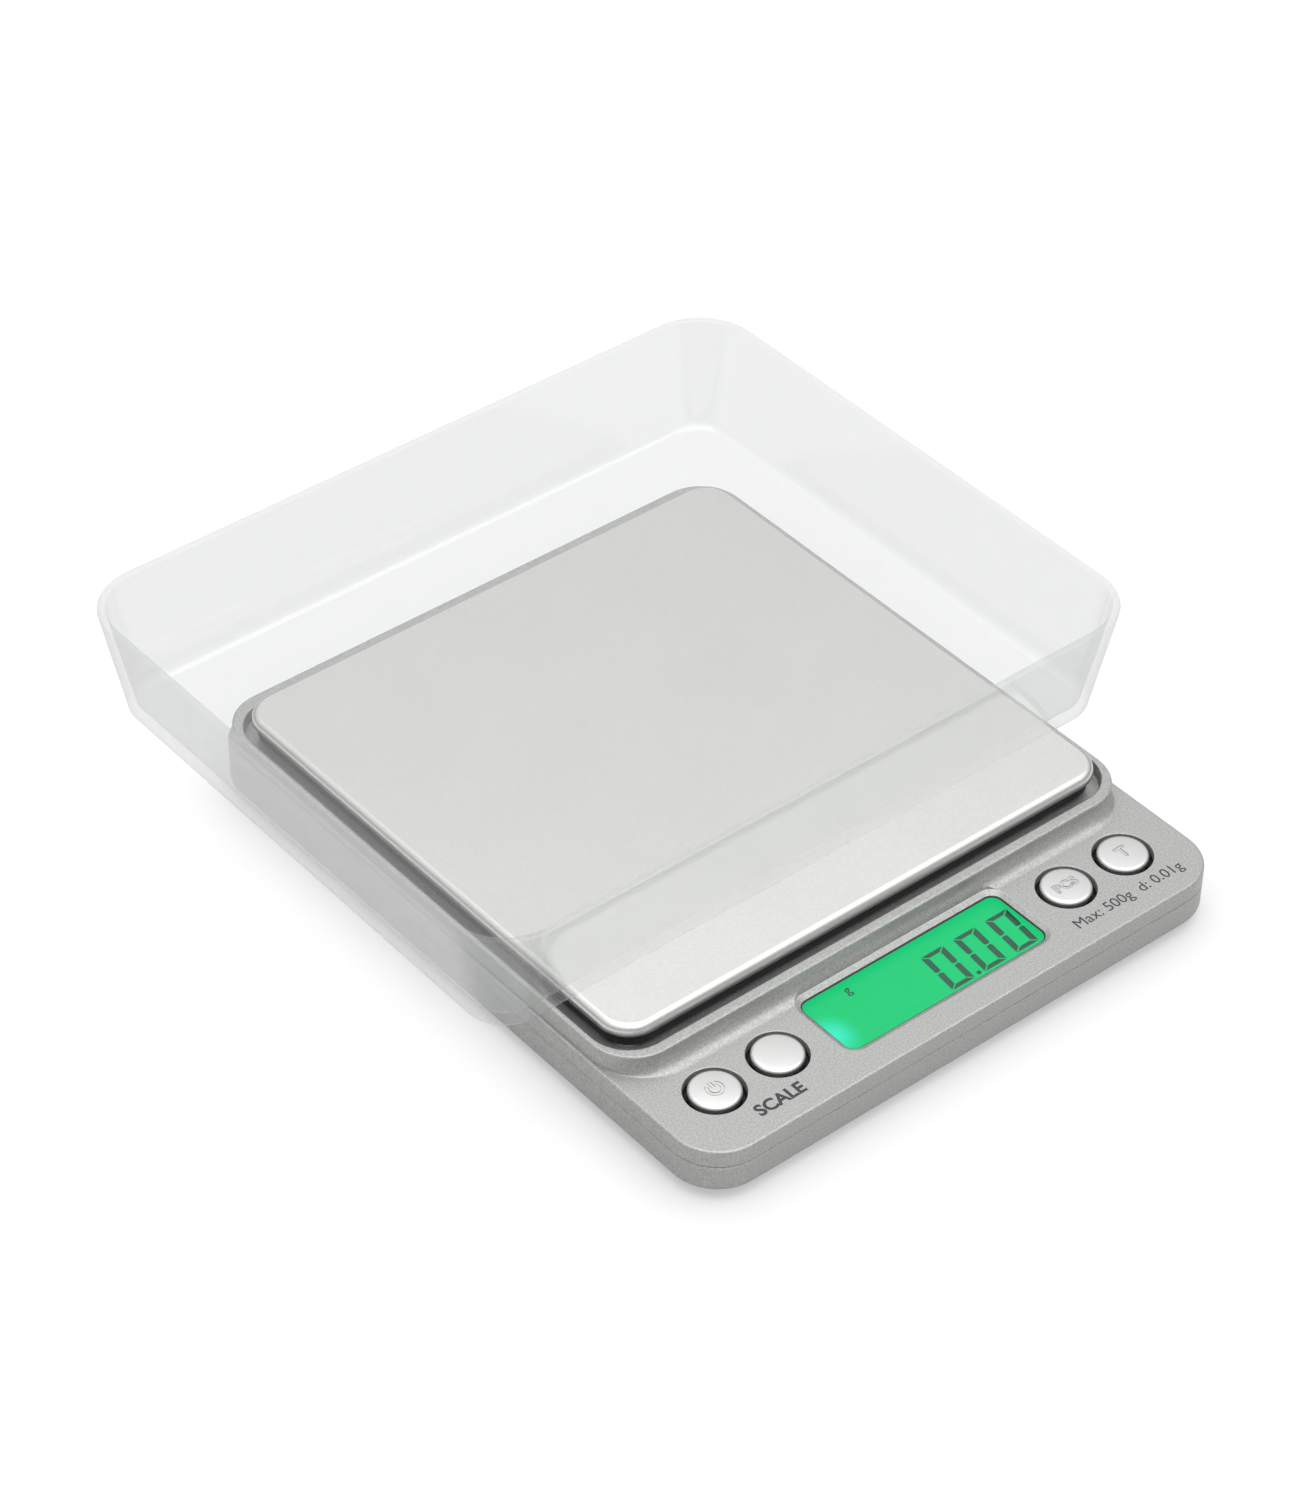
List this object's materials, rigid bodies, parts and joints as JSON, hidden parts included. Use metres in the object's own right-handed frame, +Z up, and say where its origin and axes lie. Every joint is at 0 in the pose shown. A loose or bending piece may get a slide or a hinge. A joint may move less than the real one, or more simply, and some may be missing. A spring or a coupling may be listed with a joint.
{
  "type": "digital gram scale",
  "caption": "Slim bench scale with a square steel platform, backlit display, round push buttons and a clear lift-off tray.",
  "frame": {"origin": "on the table, under the middle of the whole object's box with its tray on", "axes": "+Z up, -Y towards the person using it (the control panel's side), +X to their right"},
  "size_m": [0.132, 0.14, 0.0371],
  "materials": {
    "housing_paint": "moulded ABS with fine metallic silver paint, satin",
    "platform_steel": "satin stainless sheet",
    "clear_tray": "clear polystyrene, polished",
    "button_chrome": "moulded plastic with satin chrome plating",
    "clear_lens": "clear acrylic, polished",
    "display_green": "liquid crystal glass, backlit green",
    "backlight": "acrylic light guide, lit green",
    "contact_rubber": "silicone strip with carbon layers",
    "black_plastic": "moulded black ABS",
    "black_resin": "epoxy drop over the chip",
    "board": "glass-fibre board with green mask",
    "foot_rubber": "moulded rubber",
    "zinc_screw": "zinc-plated steel",
    "zinc_plate": "zinc-plated steel sheet",
    "cell_aluminium": "machined aluminium",
    "gauge_silicone": "white silicone over the strain gauges",
    "battery_jacket": "printed battery jacket",
    "nickel_spring": "nickel-plated spring steel",
    "lead_white": "PVC insulation",
    "lead_red": "PVC insulation",
    "lead_black": "PVC insulation",
    "foam_pad": "double-sided adhesive pad",
    "plunger_plastic": "moulded nylon"
  },
  "bodies": {
    "base": {"bottom_housing": "housing_paint", "top_housing": "housing_paint", "foot_front_left": "foot_rubber", "foot_front_right": "foot_rubber", "foot_back_left": "foot_rubber", "foot_back_right": "foot_rubber", "housing_screw_front_left": "zinc_screw", "housing_screw_front_right": "zinc_screw", "housing_screw_back_left": "zinc_screw", "housing_screw_back_right": "zinc_screw", "main_board": "board", "controller_chip": "black_resin", "switch_power": "black_plastic", "switch_mode": "black_plastic", "switch_count": "black_plastic", "switch_tare": "black_plastic", "board_screw_front_left": "zinc_screw", "board_screw_front_right": "zinc_screw", "board_screw_back_left": "zinc_screw", "board_screw_back_right": "zinc_screw", "display_lens": "clear_lens", "display_glass": "display_green", "display_backlight": "backlight", "display_contact_strip": "contact_rubber", "display_frame": "black_plastic", "load_cell": "cell_aluminium", "load_cell_spacer_base": "zinc_plate", "load_cell_screw_1": "zinc_screw", "load_cell_screw_2": "zinc_screw", "gauge_coating": "gauge_silicone", "battery_front": "battery_jacket", "battery_back": "battery_jacket", "battery_contact_positive": "nickel_spring", "battery_contact_negative": "nickel_spring", "battery_contact_bridge": "nickel_spring", "load_cell_lead": "lead_white", "battery_lead_positive": "lead_red", "battery_lead_negative": "lead_black"},
    "platform": {"platform_carrier": "black_plastic", "steel_platform": "platform_steel", "load_cell_spacer_platform": "zinc_plate", "carrier_screw_1": "zinc_screw", "carrier_screw_2": "zinc_screw", "platform_pad_front_left": "foam_pad", "platform_pad_front_right": "foam_pad", "platform_pad_back_left": "foam_pad", "platform_pad_back_right": "foam_pad"},
    "tray": {"clear_tray": "clear_tray"},
    "battery_door": {"battery_door": "housing_paint"},
    "button_power": {"button_power": "button_chrome", "plunger_power": "plunger_plastic"},
    "button_mode": {"button_mode": "button_chrome", "plunger_mode": "plunger_plastic"},
    "button_count": {"button_count": "button_chrome", "plunger_count": "plunger_plastic"},
    "button_tare": {"button_tare": "button_chrome", "plunger_tare": "plunger_plastic"}
  },
  "joints": [
    {"name": "platform_press", "type": "slide", "parent": "base", "child": "platform", "axis": [0, 0, -1], "range_m": [0, 0.0004], "stiffness_N_per_m": 16000, "springref_m": -0.00009, "deforming": ["load_cell"]},
    {"name": "tray_lift", "type": "slide", "parent": "platform", "child": "tray", "axis": [0, 0, 1], "range_m": [0, 0.06]},
    {"name": "battery_door_swing", "type": "hinge", "parent": "base", "child": "battery_door", "pos_m": [0.0025, 0.0246, 0.002], "axis": [-1, 0, 0], "range_deg": [0, 70]},
    {"name": "power_press", "type": "slide", "parent": "base", "child": "button_power", "axis": [0, 0, -1], "range_m": [0, 0.0004], "stiffness_N_per_m": 2500, "springref_m": -0.0002},
    {"name": "mode_press", "type": "slide", "parent": "base", "child": "button_mode", "axis": [0, 0, -1], "range_m": [0, 0.0004], "stiffness_N_per_m": 2500, "springref_m": -0.0002},
    {"name": "count_press", "type": "slide", "parent": "base", "child": "button_count", "axis": [0, 0, -1], "range_m": [0, 0.0004], "stiffness_N_per_m": 2500, "springref_m": -0.0002},
    {"name": "tare_press", "type": "slide", "parent": "base", "child": "button_tare", "axis": [0, 0, -1], "range_m": [0, 0.0004], "stiffness_N_per_m": 2500, "springref_m": -0.0002}
  ]
}
